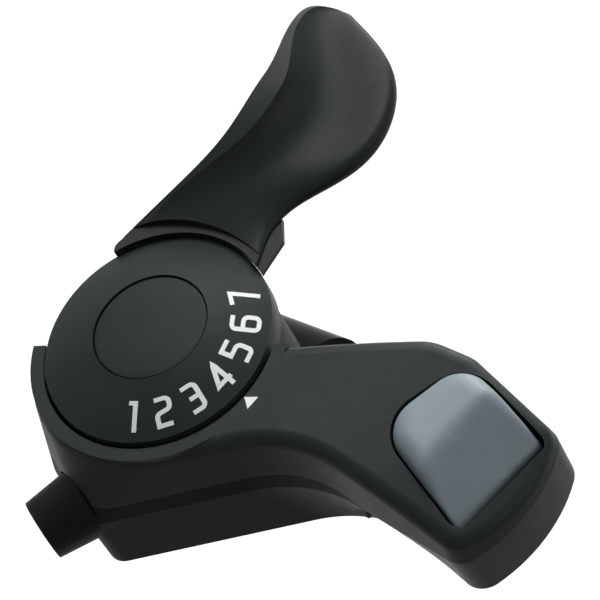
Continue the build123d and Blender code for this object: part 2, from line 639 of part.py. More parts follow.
def lever_section(station):
    """Section of the paddle: leaning back, narrow ridge, hollow front and a shelf with a rolled lip."""
    reach, side_x, side_z, ridge_x, ridge_z, foot_x, foot_z, lip_x, lip_z, low = station
    y = DIAL_RADIUS + reach
    lip_radius = (lip_z - low) / 2
    heel = (side_x + BACK_LEAN * (side_z - low), y, low)
    back_middle = (side_x, y, (low + side_z) / 2)
    side = (side_x, y, side_z)
    ridge = (ridge_x, y, ridge_z)
    foot = (foot_x, y, foot_z)
    shelf = (foot_x + SHELF_PLACE * (lip_x - foot_x), y, lip_z + SHELF_CROWN * (foot_z - lip_z))
    lip = (lip_x, y, low + lip_radius)
    lip_low = (lip_x - lip_radius, y, low)
    front_start = (foot_x - ridge_x, 0, 2 * (foot_z - ridge_z))
    edges = Spline(heel, back_middle, side)
    edges += Line(side, ridge)
    edges += Spline(ridge, foot, shelf, lip, tangents=[front_start, (0, 0, -1)])
    edges += TangentArc(lip, lip_low, tangent=(0, 0, -1))
    edges += Line(lip_low, heel)
    return make_face(edges)


def lever_paddle():
    """Scoop-shaped paddle, lofted through its sections."""
    return loft([lever_section(station) for station in LEVER_STATIONS])


def lever_ledge():
    """Plan of the ledge along the dial's edge, from its tail to the block under the paddle's root."""
    block_end = DIAL_RADIUS + BLOCK_REACH
    neck = (BLOCK_NECK[0], DIAL_RADIUS + BLOCK_NECK[1])
    edges = Spline(*LEDGE_TAIL)
    edges += Polyline(LEDGE_TAIL[-1], neck, (BLOCK_SIDE, block_end), (BLOCK_SIDE, 0), (0, 0), LEDGE_TAIL[0])
    return make_face(edges)


def thumb_lever():
    """Lever moulding: hub plate under the dial, ledge round its edge and the paddle."""
    pocket_radius = DIAL_RADIUS + LEVER_GAP
    block_slope = Polyline(
        (-FAR, LEDGE_LOW),
        (-FAR, LEDGE_TOP),
        (BLOCK_INNER, LEDGE_TOP),
        (BLOCK_SIDE, (LEDGE_LOW + LEDGE_TOP) / 2),
        (BLOCK_SIDE, LEDGE_LOW),
        close=True,
    )
    ledge = prism(lever_ledge(), LEDGE_LOW, LEDGE_TOP) & slab_along_y(make_face(block_slope), -FAR, FAR)
    body = lever_paddle() - disc(CREST_RADIUS, LEDGE_TOP, FAR, CREST_CENTRE) + ledge
    web = ring(DIAL_RADIUS - WEB_WIDTH, pocket_radius + WEB_WIDTH, LEVER_LOW, LEDGE_LOW)
    body += web & prism(sector(WEB_START_ANGLE, WEB_END_ANGLE), LEVER_LOW, LEDGE_LOW)
    body -= disc(pocket_radius, PLATE_TOP_Z, FAR)
    body += disc(DIAL_RADIUS, LEVER_LOW, PLATE_TOP_Z)
    body += disc(HUB_RADIUS, DRUM_TOP, LEVER_LOW)
    key = Rectangle(DRIVE_LENGTH, DRIVE_WIDTH)
    body += prism(key, DRUM_TOP - DRIVE_DEPTH, DRUM_TOP)
    for place in peg_places():
        body -= disc(PEG_RADIUS + SLIP, LEVER_LOW - CUT, PLATE_TOP_Z + CUT, place)
    return body - disc(BUSH_RADIUS + RUNNING, -FAR, PLATE_TOP_Z + CUT)


def peg_places():
    """Places of the pegs that key the dial to the lever's hub plate."""
    angles = [PEG_START_ANGLE + peg * 360 / PEG_COUNT for peg in range(PEG_COUNT)]
    return [polar(DIAL_RADIUS - PEG_INSET, angle) for angle in angles]


def indicator_dial():
    """Domed ring that carries the numbers, with a ledge for the cap."""
    hole = CAP_RADIUS + SLIP
    cap_seat = DIAL_RISE - CAP_THICKNESS
    outer = DIAL_RADIUS
    middle = (outer + hole) / 2
    edges = Polyline((hole, DIAL_RISE), (hole, cap_seat), (hole - CAP_LEDGE, cap_seat))
    edges += Line((hole - CAP_LEDGE, cap_seat), (hole - CAP_LEDGE, cap_seat - DIAL_SKIN))
    under_bend = outer - 2 * DIAL_SKIN
    edges += Line((hole - CAP_LEDGE, cap_seat - DIAL_SKIN), (under_bend, PLATE_TOP_Z))
    edges += Polyline((under_bend, PLATE_TOP_Z), (outer, PLATE_TOP_Z), (outer, 0))
    edges += ThreePointArc((outer, 0), (middle, DIAL_RISE / 2 + DIAL_BULGE), (hole, DIAL_RISE))
    dial = revolve(Plane.XZ * make_face(edges), Axis.Z)
    for place in peg_places():
        dial += disc(PEG_RADIUS, PLATE_TOP_Z - LEVER_PLATE, PLATE_TOP_Z + DIAL_SKIN, place)
    return dial


def dial_cap():
    """Slightly crowned cap in the middle of the dial."""
    low = DIAL_RISE - CAP_THICKNESS
    edge = CAP_RADIUS - SLIP
    top = DIAL_RISE + CAP_CROWN
    edges = Polyline((0, top), (0, low), (edge, low), (edge, DIAL_RISE))
    edges += TangentArc((0, top), (edge, DIAL_RISE), tangent=(1, 0))
    return revolve(Plane.XZ * make_face(edges), Axis.Z)


def button_crown():
    """Flat-topped block with a rounded shoulder, which runs on past the button at the grip end."""
    left, far, right, near = button_corners()
    far_end = (2 * right[0] - far[0], 2 * right[1] - far[1])
    near_end = (2 * near[0] - left[0], 2 * near[1] - left[1])
    face = make_face(Polyline(left, far, far_end, near_end, close=True))
    face = round_corner(face, left, BUTTON_LEFT_ROUND)
    face = round_corner(face, far, BUTTON_FAR_ROUND)
    block = prism(face, PADDLE_TOP, -BUTTON_TOP_DROP)
    rim = [edge for edge in block.edges().group_by(Axis.Z)[-1] if edge.position_at(0.5).X < ARM_END]
    return fillet(rim, BUTTON_SHOULDER)


def release_button():
    """Wedge-shaped button: rounded shoulder, a flat slope to the grip end and a slot for the key."""
    right, near = button_corners()[2:]
    turn = degrees(atan2(right[1] - near[1], right[0] - near[0])) - 90
    low = -BUTTON_LOW_DROP
    rise = FAR * tan(radians(BUTTON_SLOPE))
    side = make_face(Polyline((0, low), (-FAR, low + rise), (-FAR, -FAR), (0, -FAR), close=True))
    slope = Pos(right[0], right[1], 0) * Rot(0, 0, turn) * slab_along_y(side, -FAR, FAR)
    body = prism(button_outline(), PADDLE_TOP, FAR) & button_crown() & slope
    faces = [face for face in body.faces() if face.normal_at().Z > 0]
    face = max(faces, key=lambda item: item.area)
    body = fillet(face.edges(), BUTTON_EDGE_ROUND)
    key = Rectangle(KEY_LENGTH + 2 * SLIP, KEY_WIDTH + 2 * SLIP)
    return body - Pos(SPRING_X, SPRING_Y, 0) * prism(key, PADDLE_TOP - CUT, PADDLE_TOP + PADDLE_KEY + SLIP)


def release_rocker():
    """Pressed rocker on the pin: a paddle under the button and a finger under the detent spring."""
    barrel = Pos(ROCKER_PIVOT_X, PIVOT_Z) * Circle(ROCKER_BARREL_RADIUS)
    body = slab_along_y(barrel, ROCKER_NEAR, ROCKER_FAR)
    finger = Polyline(
        (FINGER_REACH, FINGER_TOP),
        (FINGER_REACH, FINGER_TOP - ROCKER_THICKNESS / 2),
        (ROCKER_PIVOT_X, PIVOT_Z - ROCKER_BARREL_RADIUS),
        (ROCKER_PIVOT_X, PIVOT_Z + ROCKER_BARREL_RADIUS),
        (FINGER_REACH + FINGER_WIDTH, FINGER_TOP),
        close=True,
    )
    body += slab_along_y(make_face(finger), ROCKER_NEAR, ROCKER_NEAR + FINGER_WIDTH)
    paddle_low = PADDLE_TOP - ROCKER_THICKNESS
    paddle = Polyline(
        (ROCKER_PIVOT_X, PIVOT_Z + ROCKER_BARREL_RADIUS),
        (ROCKER_PIVOT_X + 2 * ROCKER_BARREL_RADIUS, PADDLE_TOP),
        (PADDLE_END, PADDLE_TOP),
        (PADDLE_END, paddle_low),
        (ROCKER_PIVOT_X + 2 * ROCKER_BARREL_RADIUS, paddle_low),
        (ROCKER_PIVOT_X, PIVOT_Z - ROCKER_BARREL_RADIUS),
        close=True,
    )
    body += slab_along_y(make_face(paddle), ROCKER_FAR - PADDLE_WIDTH, ROCKER_FAR)
    key = Rectangle(KEY_LENGTH, KEY_WIDTH)
    body += Pos(SPRING_X, SPRING_Y, 0) * prism(key, PADDLE_TOP, PADDLE_TOP + PADDLE_KEY)
    bore = Pos(ROCKER_PIVOT_X, PIVOT_Z) * Circle(PIN_RADIUS + RUNNING)
    return body - slab_along_y(bore, ROCKER_NEAR - CUT, ROCKER_FAR + CUT)


def rocker_pin():
    """Plain pin through the two posts and the rocker."""
    reach = LOOSE + POST_THICKNESS
    section = Pos(ROCKER_PIVOT_X, PIVOT_Z) * Circle(PIN_RADIUS)
    return slab_along_y(section, ROCKER_NEAR - reach, ROCKER_FAR + reach)


def button_spring():
    """Coil spring between the case floor and the rocker's paddle."""
    height = PADDLE_TOP - ROCKER_THICKNESS - ARM_FLOOR
    coil_radius = SPRING_RADIUS - SPRING_WIRE
    rise = height - 2 * SPRING_WIRE
    path = Helix(pitch=rise / SPRING_TURNS, height=rise, radius=coil_radius)
    section = Plane(origin=path @ 0, z_dir=path % 0) * Circle(SPRING_WIRE)
    coil = sweep(section, path=path, is_frenet=True)
    return Pos(SPRING_X, SPRING_Y, ARM_FLOOR + SPRING_WIRE) * coil


def blade_plan():
    """Plan of the leaf spring: a strip from the index hole to its lug."""
    near = ROCKER_NEAR + FINGER_WIDTH - BLADE_WIDTH
    strip_start = NOSE_X - NOSE_RADIUS
    strip_end = BLADE_LUG_X + BLADE_LUG_WIDTH / 2
    strip = Rectangle(strip_end - strip_start, BLADE_WIDTH, align=(Align.MIN, Align.MIN))
    lug_low = BLADE_LUG_Y - BLADE_LUG_WIDTH / 2
    lug = Rectangle(BLADE_LUG_WIDTH, near + BLADE_WIDTH - lug_low, align=(Align.CENTER, Align.MIN))
    return Pos(strip_start, near) * strip + Pos(BLADE_LUG_X, lug_low) * lug


def detent_spring():
    """Leaf spring with a lug for its screw and a rounded nose that drops in an index hole."""
    blade = prism(blade_plan(), BLADE_LOW, BLADE_LOW + BLADE_THICKNESS)
    blade += Pos(NOSE_X, NOSE_Y, BLADE_LOW) * Sphere(NOSE_RADIUS) & disc(FAR, BLADE_LOW - FAR, BLADE_LOW)
    return blade - disc(SCREW_RADIUS + SLIP, BLADE_LOW - CUT, BLADE_LOW + CUT, (BLADE_LUG_X, BLADE_LUG_Y))


def detent_screw():
    """Screw that holds the leaf spring on its post."""
    seat = BLADE_LOW + BLADE_THICKNESS
    place = (BLADE_LUG_X, BLADE_LUG_Y)
    screw = disc(SCREW_RADIUS, FLOOR_TOP + POST_HOLE_FLOOR + SLIP, seat, place)
    return screw + disc(SCREW_HEAD_RADIUS, seat, seat + SCREW_HEAD_HEIGHT, place)


def cover_screws():
    """Three equal screws, from below, that hold the cover on the case."""
    screws = []
    for place in SCREW_PLACES:
        head = disc(SCREW_HEAD_RADIUS, BASE, BASE + SCREW_HEAD_HEIGHT - SLIP, place)
        shank = disc(SCREW_RADIUS, BASE, COVER_TOP - SCREW_ROOF - SCREW_TIP_GAP, place)
        screws.append(head + shank)
    return Compound(children=[screw.solid() for screw in screws])


MAKERS = [
    upper_cover,
    lower_case,
    clamp_band,
    clamp_bolt,
    clamp_nut,
    pivot_shaft,
    thrust_washer,
    shaft_washer,
    shaft_nut,
    hub_bush,
    cable_drum,
    index_plate,
    thumb_lever,
    indicator_dial,
    dial_cap,
    release_button,
    release_rocker,
    rocker_pin,
    button_spring,
    detent_spring,
    detent_screw,
    cover_screws,
]

os.makedirs("parts", exist_ok=True)
to_bar_frame = Pos(0, -BAR_OFFSET, RIM_HEIGHT)
for maker in MAKERS:
    export_step(to_bar_frame * maker(), os.path.join("parts", maker.__name__ + ".step"))
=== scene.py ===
import math
from collections import namedtuple

import bpy
from mathutils import Matrix, Vector
from mathutils.bvhtree import BVHTree


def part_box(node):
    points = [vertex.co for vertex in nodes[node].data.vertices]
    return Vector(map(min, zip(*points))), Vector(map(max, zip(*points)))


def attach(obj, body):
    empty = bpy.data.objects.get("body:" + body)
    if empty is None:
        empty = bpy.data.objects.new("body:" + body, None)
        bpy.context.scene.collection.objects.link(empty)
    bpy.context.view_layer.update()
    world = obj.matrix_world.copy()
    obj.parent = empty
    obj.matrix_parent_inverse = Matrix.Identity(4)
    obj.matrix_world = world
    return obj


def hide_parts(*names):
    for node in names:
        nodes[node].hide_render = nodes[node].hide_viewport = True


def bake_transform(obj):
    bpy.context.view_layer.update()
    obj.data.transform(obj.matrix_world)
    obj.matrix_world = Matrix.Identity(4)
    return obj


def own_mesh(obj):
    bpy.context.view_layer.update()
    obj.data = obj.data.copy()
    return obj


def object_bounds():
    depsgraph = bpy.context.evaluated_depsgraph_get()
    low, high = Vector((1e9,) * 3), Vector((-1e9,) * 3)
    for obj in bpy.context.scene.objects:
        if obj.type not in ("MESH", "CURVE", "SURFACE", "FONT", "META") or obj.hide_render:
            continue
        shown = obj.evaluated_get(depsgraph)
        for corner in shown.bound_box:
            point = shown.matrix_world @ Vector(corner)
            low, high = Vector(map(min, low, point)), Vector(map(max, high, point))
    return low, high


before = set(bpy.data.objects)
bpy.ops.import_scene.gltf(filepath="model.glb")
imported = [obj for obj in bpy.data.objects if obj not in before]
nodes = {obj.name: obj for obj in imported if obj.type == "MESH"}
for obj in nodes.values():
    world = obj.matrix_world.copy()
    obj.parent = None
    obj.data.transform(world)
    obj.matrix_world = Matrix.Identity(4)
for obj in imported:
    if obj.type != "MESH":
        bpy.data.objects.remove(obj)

cad_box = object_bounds()
MM = 0.001
DOWN = Vector((0.0, 0.0, -1.0))
WHITE = (1.0, 1.0, 1.0, 1.0)

# Places shared with the solids, in millimetres in the frame of the bar: the dial's axis, and the
# level from which the button's heights count
DIAL_AXIS = (0.0, -10.6)
RIM_LEVEL = 34.3

# Moulded plastic: mottling, paler convex edges that are a painted highlight, fine grain, whose
# depth is in metres, and uneven gloss
MOTTLE_SCALE = 130.0
MOTTLE_DETAIL = 3.0
MOTTLE_RANGE = (0.35, 0.65)
MOTTLE_DARK = 0.93
MOTTLE_PALE = 1.07
# Paler colour on convex edges, found by pointiness, is a painted highlight
EDGE_HIGHLIGHT_POINTINESS = (0.55, 0.63)
EDGE_HIGHLIGHT_SHARE = 0.7
EDGE_HIGHLIGHT_LIFT = 0.004
GRAIN_DETAIL = 2.0
GRAIN_DEPTH = 0.00006
GLOSS_SCALE = 420.0
GLOSS_DETAIL = 4.0
GLOSS_SWING = 0.03

# Plastics: colour, roughness, shine, scale and relief of the grain, gain of the painted highlight
# on the edges
PLASTICS = {
    "cover_plastic": ((0.0130, 0.0186, 0.0174), 0.44, 0.10, 5200.0, 0.22, 1.5),
    "case_plastic": ((0.0068, 0.0090, 0.0084), 0.50, 0.05, 5200.0, 0.22, 1.4),
    "lever_plastic": ((0.0095, 0.0138, 0.0130), 0.40, 0.11, 6500.0, 0.14, 1.5),
    "dial_plastic": ((0.0165, 0.0231, 0.0218), 0.46, 0.08, 5200.0, 0.24, 1.5),
    "button_plastic": ((0.200, 0.245, 0.270), 0.42, 0.24, 6500.0, 0.12, 1.1),
    "drum_plastic": ((0.30, 0.30, 0.29), 0.5, 0.4, 4200.0, 0.2, 1.1),
    "band_paint": ((0.0060, 0.0070, 0.0068), 0.20, 0.008, 3000.0, 0.06, 1.4),
    # Dark strip in the seam under the button's grip end: painted shade
    "seam_shade_dark": ((0.0120, 0.0130, 0.0130), 0.80, 0.10, 2400.0, 0.60, 1.2),
}

# Metal: grain stretched along the drawn or the turned direction, with its depth in metres
NOISE_RANGE = (0.3, 0.7)
METAL_SCALE = 900.0
METAL_DETAIL = 3.0
METAL_DARK = 0.8
METAL_SWING = 0.08
METAL_RELIEF = 0.12
METAL_DEPTH = 0.00004
DRAWN = (0.2, 1.0, 1.0)
TURNED = (1.0, 1.0, 0.15)

# Metals: colour, roughness, stretch of the grain, share of metal
METALS = {
    "bolt_black": ((0.04, 0.04, 0.042), 0.36, TURNED, 0.4),
    "plated_steel": ((0.56, 0.56, 0.54), 0.32, DRAWN, 1.0),
    "spring_steel": ((0.42, 0.42, 0.43), 0.26, DRAWN, 1.0),
    "bush_brass": ((0.72, 0.55, 0.27), 0.3, TURNED, 1.0),
}

# White ink with an uneven coat
INK_COLOUR = (0.86, 0.88, 0.88)
INK_SCALE = 2600.0
INK_DETAIL = 3.0
INK_THIN = 0.9
INK_ROUGHNESS = 0.5
INK_SHINE = 0.1

# Material of each node, where it isn't the plain one
PLAIN_FINISH = "plated_steel"
FINISHES = {
    "upper_cover": "cover_plastic",
    "lower_case": "case_plastic",
    "thumb_lever": "lever_plastic",
    "indicator_dial": "dial_plastic",
    "dial_cap": "dial_plastic",
    "release_button": "button_plastic",
    "cable_drum": "drum_plastic",
    "clamp_band": "band_paint",
    "clamp_bolt": "bolt_black",
    "hub_bush": "bush_brass",
    "button_spring": "spring_steel",
    "detent_spring": "spring_steel",
}

# Numbers on the dial and the mark on the cover, in millimetres and degrees about the dial's axis
NUMBER_RADIUS = 14.0
NUMBER_WIDTH = 2.35
NUMBER_STROKE = 0.60
NUMBER_SPREAD = 1.2
NUMBER_STEP = 19.0
NUMBER_MIDDLE = -11.2
MIDDLE_GEAR = 4
PRINT_RAISE = 0.03
PRINT_LAYER = 0.004
PRINT_SINK = 0.03
PRINT_STEP = 0.35
MITRE_LIMIT = 0.5
CORNER_STEPS = 6
POINTER_TIP_RADIUS = 18.15
POINTER_BASE_RADIUS = 19.95
POINTER_HALF_WIDTH = 1.15
POINTER_HALF_TIP = 0.04
POINTER_ANGLE = -10.6
POINTER_STEPS = 6
RAY_START = 0.2

# Middle lines of the numbers' strokes, one unit wide and TALL high. A third value of a point is
# the radius of its corner
TALL = 1.79
LEFT = NUMBER_STROKE / NUMBER_WIDTH / 2
RIGHT = 1.0 - LEFT
FOOT = LEFT
TOP = TALL - LEFT
BEND = 0.26
NUMBER_STROKES = {
    1: [[(0.24, TOP), (0.60, TOP), (0.60, 0.0)]],
    2: [[(LEFT, TOP), (RIGHT, TOP, BEND), (RIGHT, 1.02, BEND), (LEFT, 0.80, BEND),
         (LEFT, FOOT), (RIGHT, FOOT)]],
    3: [[(LEFT, TOP), (RIGHT, TOP, BEND), (RIGHT, FOOT, BEND), (LEFT, FOOT)],
        [(0.30, TALL / 2), (RIGHT, TALL / 2)]],
    4: [[(0.77, 0.0), (0.77, TOP), (LEFT, 0.47), (1.0, 0.47)]],
    5: [[(RIGHT, TOP), (LEFT, TOP), (LEFT, 1.04), (RIGHT, 1.04, BEND), (RIGHT, FOOT, 0.22),
         (LEFT, FOOT)]],
    6: [[(0.92, TOP), (LEFT, TOP, BEND), (LEFT, FOOT, BEND), (RIGHT, FOOT, BEND),
         (RIGHT, 1.02, BEND), (LEFT, 1.02)]],
    7: [[(LEFT, TOP), (RIGHT, TOP), (0.40, 0.0)]],
}

# Release button, about the dial's axis: corners in plan from the left one round by the far one,
# how far each edge from there stands out into the pocket's gap, and the rounding of each corner
BUTTON_CORNERS = ((39.0, 0.8), (44.7, 13.4), (58.2, 8.5), (55.0, -7.0))
BUTTON_GROWTH = (0.75, 0.45, 0.10, 0.75)
BUTTON_ROUNDS = (5.6, 5.0, 0.9, 0.9)
BUTTON_ARC_STEP = 6.0
BUTTON_ARC_LEAST = 3
BUTTON_RUN_STEP = 0.6

# Heights of the button and its slope, which rises from the grip end's edge to a soft ridge
BUTTON_TOP = -0.7
BUTTON_LOW = -8.4
BUTTON_BASE = -10.2
BUTTON_GRIP_EDGE = 2
BUTTON_SLOPE = 45.0
BUTTON_RIDGE = 0.55
BUTTON_RIDGE_END = -30

# Rounding of the button's upper edges, crisp at the grip end and soft on the shoulder, and the
# shares of the way to the middle at which its top has rings
BUTTON_SOFT_EDGE = 2.8
BUTTON_CRISP_EDGE = 0.7
BUTTON_CRISP_RUN = 2.0
BUTTON_SOFTEN_RUN = 8.0
BUTTON_RINGS = (0.0, 0.015, 0.035, 0.06, 0.09, 0.13, 0.18, 0.24, 0.31, 0.39, 0.48, 0.58, 0.68,
                0.78, 0.88)
SHARP_ANGLE = 50.0

# Cap of the dial: height of its crown, rounding of its edge, and how finely it is turned
CAP_CROWN = 0.4
CAP_EDGE = 0.2
CAP_SIDES = 96
CAP_RINGS = 10
CAP_EDGE_STEPS = 4

# Dark strip under the button's grip end, painted shade that fills the seam there, in the frame of
# the bar: its plan, anticlockwise, its heights, the share of them that is upright, and how far its
# top draws in
SHADE_STRIP_PLAN = ((56.6, -5.4), (59.0, -5.4), (59.3, -4.4), (59.5, -3.0), (59.5, -1.8), (58.9, -0.8),
               (57.8, -0.2), (56.6, -0.2))
SHADE_STRIP_LOW = 17.8
SHADE_STRIP_THICK = 0.4
SHADE_STRIP_UPRIGHT = 0.7
SHADE_STRIP_DRAW = 0.12

# Camera of the photograph, in millimetres, and its near limit in metres
CAMERA_PLACE = (275.51, -157.09, 399.65)
CAMERA_RIGHT = (0.7883, 0.5188, -0.3308)
CAMERA_UP = (-0.2878, 0.7861, 0.5471)
CAMERA_BACK = (0.5438, -0.3361, 0.7690)
CAMERA_LENS = 201.6
CAMERA_SENSOR = 36.0
CAMERA_NEAR = 0.01

# Floor and world: how far the floor lies below the object, in metres, its grey, the glow that the
# camera sees, and the strength of the world as fill light and as white background
FLOOR_DROP = 0.075
FLOOR_HALF = 3.0
FLOOR_GREY = (0.30, 0.30, 0.30, 1.0)
FLOOR_GLOW = 0.82
FILL_STRENGTH = 0.10
BACKGROUND_STRENGTH = 1.0

# Lamps: way from the object in the picture's right, up and back, then distance and size in
# metres, and power in watts
LAMPS = {
    "key_lamp": ((-0.20, 0.92, 0.22), 0.75, 0.5, 5.4),
    "rim_lamp": ((0.20, 0.95, -0.28), 0.8, 0.4, 4.8),
    "side_lamp": ((-0.9, 0.3, 0.5), 0.8, 0.5, 0.3),
    "front_lamp": ((0.7, 0.2, 0.7), 0.9, 0.6, 1.5),
}

# An edge of the button in plan, and one of its rounded corners between two edges
Edge = namedtuple("Edge", "start inward along")
Turn = namedtuple("Turn", "centre radius before after")


# Materials

def cleared(owner):
    """Node tree of a material or of the world, with nothing in it."""
    owner.use_nodes = True
    owner.node_tree.nodes.clear()
    return owner.node_tree


def new_material(name):
    """Node material with only its shader and output."""
    material = bpy.data.materials.new(name)
    tree = cleared(material)
    output = tree.nodes.new("ShaderNodeOutputMaterial")
    shader = tree.nodes.new("ShaderNodeBsdfPrincipled")
    tree.links.new(shader.outputs["BSDF"], output.inputs["Surface"])
    return material, tree, shader


def noise(tree, scale, detail, stretch=None):
    """Noise in the object's own metres, stretched along an axis where asked."""
    place = tree.nodes.new("ShaderNodeTexCoord")
    texture = tree.nodes.new("ShaderNodeTexNoise")
    texture.inputs["Scale"].default_value = scale
    texture.inputs["Detail"].default_value = detail
    if stretch is None:
        tree.links.new(place.outputs["Object"], texture.inputs["Vector"])
    else:
        mapping = tree.nodes.new("ShaderNodeMapping")
        mapping.inputs["Scale"].default_value = stretch
        tree.links.new(place.outputs["Object"], mapping.inputs["Vector"])
        tree.links.new(mapping.outputs["Vector"], texture.inputs["Vector"])
    return texture.outputs["Fac"]


def ranged(tree, value, source=(0.0, 1.0), target=(0.0, 1.0)):
    """Value carried from one range to another."""
    node = tree.nodes.new("ShaderNodeMapRange")
    node.inputs["From Min"].default_value, node.inputs["From Max"].default_value = source
    node.inputs["To Min"].default_value, node.inputs["To Max"].default_value = target
    tree.links.new(value, node.inputs["Value"])
    return node.outputs["Result"]


def mixed(tree, factor, first, second):
    """Colour between two colours, or between a socket and a colour."""
    node = tree.nodes.new("ShaderNodeMix")
    node.data_type = "RGBA"
    tree.links.new(factor, node.inputs["Factor"])
    for socket, value in ((node.inputs["A"], first), (node.inputs["B"], second)):
        if isinstance(value, tuple):
            socket.default_value = (*value, 1.0)
        else:
            tree.links.new(value, socket)
    return node.outputs["Result"]


def bumped(tree, shader, height, strength, distance):
    """Fine relief on the shader's normal."""
    node = tree.nodes.new("ShaderNodeBump")
    node.inputs["Strength"].default_value = strength
    node.inputs["Distance"].default_value = distance
    tree.links.new(height, node.inputs["Height"])
    tree.links.new(node.outputs["Normal"], shader.inputs["Normal"])


def moulded(name, colour, roughness, shine, grain, relief, highlight_gain):
    """Satin moulded plastic: slight mottling, fine spark-eroded grain and convex edges painted
    paler as a highlight.
    """
    material, tree, shader = new_material(name)
    dark = tuple(channel * MOTTLE_DARK for channel in colour)
    pale = tuple(min(1.0, channel * MOTTLE_PALE) for channel in colour)
    edge_highlight = tuple(min(1.0, channel * highlight_gain + EDGE_HIGHLIGHT_LIFT) for channel in colour)
    mottle = ranged(tree, noise(tree, MOTTLE_SCALE, MOTTLE_DETAIL), MOTTLE_RANGE)
    body = mixed(tree, mottle, dark, pale)
    geometry = tree.nodes.new("ShaderNodeNewGeometry")
    # Paler colour on convex edges, by pointiness: painted highlight
    edge = ranged(tree, geometry.outputs["Pointiness"], EDGE_HIGHLIGHT_POINTINESS, (0.0, EDGE_HIGHLIGHT_SHARE))
    tree.links.new(mixed(tree, edge, body, edge_highlight), shader.inputs["Base Color"])
    fine = noise(tree, grain, GRAIN_DETAIL)
    gloss = ranged(tree, noise(tree, GLOSS_SCALE, GLOSS_DETAIL), NOISE_RANGE,
                   (roughness - GLOSS_SWING, roughness + GLOSS_SWING))
    tree.links.new(gloss, shader.inputs["Roughness"])
    shader.inputs["Specular IOR Level"].default_value = shine
    bumped(tree, shader, fine, relief, GRAIN_DEPTH)
    return material


def metal(name, colour, roughness, stretch, metallic):
    """Metal with a fine drawn or turned grain."""
    material, tree, shader = new_material(name)
    grain = noise(tree, METAL_SCALE, METAL_DETAIL, stretch)
    dark = tuple(channel * METAL_DARK for channel in colour)
    body = mixed(tree, ranged(tree, grain, NOISE_RANGE), dark, colour)
    tree.links.new(body, shader.inputs["Base Color"])
    shader.inputs["Metallic"].default_value = metallic
    gloss = ranged(tree, grain, NOISE_RANGE, (roughness - METAL_SWING, roughness + METAL_SWING))
    tree.links.new(gloss, shader.inputs["Roughness"])
    bumped(tree, shader, grain, METAL_RELIEF, METAL_DEPTH)
    return material


def ink(name, colour):
    """Printed ink with a slightly uneven coat."""
    material, tree, shader = new_material(name)
    coat = ranged(tree, noise(tree, INK_SCALE, INK_DETAIL), NOISE_RANGE)
    thin = tuple(channel * INK_THIN for channel in colour)
    tree.links.new(mixed(tree, coat, thin, colour), shader.inputs["Base Color"])
    shader.inputs["Roughness"].default_value = INK_ROUGHNESS
    shader.inputs["Specular IOR Level"].default_value = INK_SHINE
    return material


materials = {name: moulded(name, *values) for name, values in PLASTICS.items()}
materials.update({name: metal(name, *values) for name, values in METALS.items()})
materials["white_ink"] = ink("white_ink", INK_COLOUR)

for name, piece in nodes.items():
    piece.data.materials.clear()
    piece.data.materials.append(materials[FINISHES.get(name, PLAIN_FINISH)])


# Pieces, faces and arcs

def new_piece(name, vertices, faces, material):
    """Piece of the scene from plain vertices and faces."""
    mesh = bpy.data.meshes.new(name)
    mesh.from_pydata(vertices, [], faces)
    mesh.materials.append(material)
    piece = bpy.data.objects.new(name, mesh)
    bpy.context.scene.collection.objects.link(piece)
    return piece


def shaded(piece):
    """Smooth shading that stays sharp over the piece's hard edges."""
    piece.data.shade_smooth()
    piece.data.set_sharp_from_angle(angle=math.radians(SHARP_ANGLE))


def ring_faces(count, rings, clockwise=False, tip=False):
    """Faces from each ring of vertices to the next, and from the last one to a single tip."""
    faces = []
    for ring in range(rings if tip else rings - 1):
        low, high = ring * count, (ring + 1) * count
        for index in range(count):
            here, there = index, (index + 1) % count
            if clockwise:
                here, there = there, here
            if ring + 1 < rings:
                faces.append((low + here, low + there, high + there, high + here))
            else:
                faces.append((low + here, low + there, high))
    return faces


def arc(centre, start, stop, steps):
    """Points on an arc about a centre, between two arms of the same length."""
    sweep = start.angle(stop)
    points = []
    for step in range(steps + 1):
        share = step / steps
        arm = start * math.sin((1 - share) * sweep) + stop * math.sin(share * sweep)
        points.append(centre + arm / math.sin(sweep))
    return points


def over_bar(x, y):
    """Place in plan about the dial's axis, in the frame of the bar and in metres."""
    return (x + DIAL_AXIS[0]) * MM, (y + DIAL_AXIS[1]) * MM


# Printed numbers and mark, laid on the surface that carries them

def surface_of(node):
    """Search tree over a node's mesh, for points that lie on it."""
    mesh = nodes[node].data
    places = [vertex.co.copy() for vertex in mesh.vertices]
    return BVHTree.FromPolygons(places, [tuple(polygon.vertices) for polygon in mesh.polygons])


def height_at(tree, x, y):
    """Height of a surface, in millimetres, under a place about the dial's axis."""
    hit = tree.ray_cast(Vector((*over_bar(x, y), RAY_START)), DOWN)
    return hit[0].z / MM


def rounded_path(path):
    """Points of a stroke's middle line, with its corners rounded and its long runs divided."""
    points = [Vector(path[0][:2])]
    for index in range(1, len(path)):
        corner = Vector(path[index][:2])
        radius = path[index][2] if len(path[index]) > 2 else 0.0
        before = (Vector(path[index - 1][:2]) - corner).normalized()
        targets = [corner]
        if radius > 0.0 and index + 1 < len(path):
            after = (Vector(path[index + 1][:2]) - corner).normalized()
            half = before.angle(after) / 2
            reach = radius / math.tan(half)
            middle = corner + (before + after).normalized() * radius / math.sin(half)
            first = corner + before * reach - middle
            last = corner + after * reach - middle
            targets = arc(middle, first, last, CORNER_STEPS)
        for target in targets:
            start = points[-1].copy()
            run = target - start
            count = max(1, math.ceil(run.length * NUMBER_WIDTH / PRINT_STEP))
            points += [start + run * step / count for step in range(1, count + 1)]
    return points


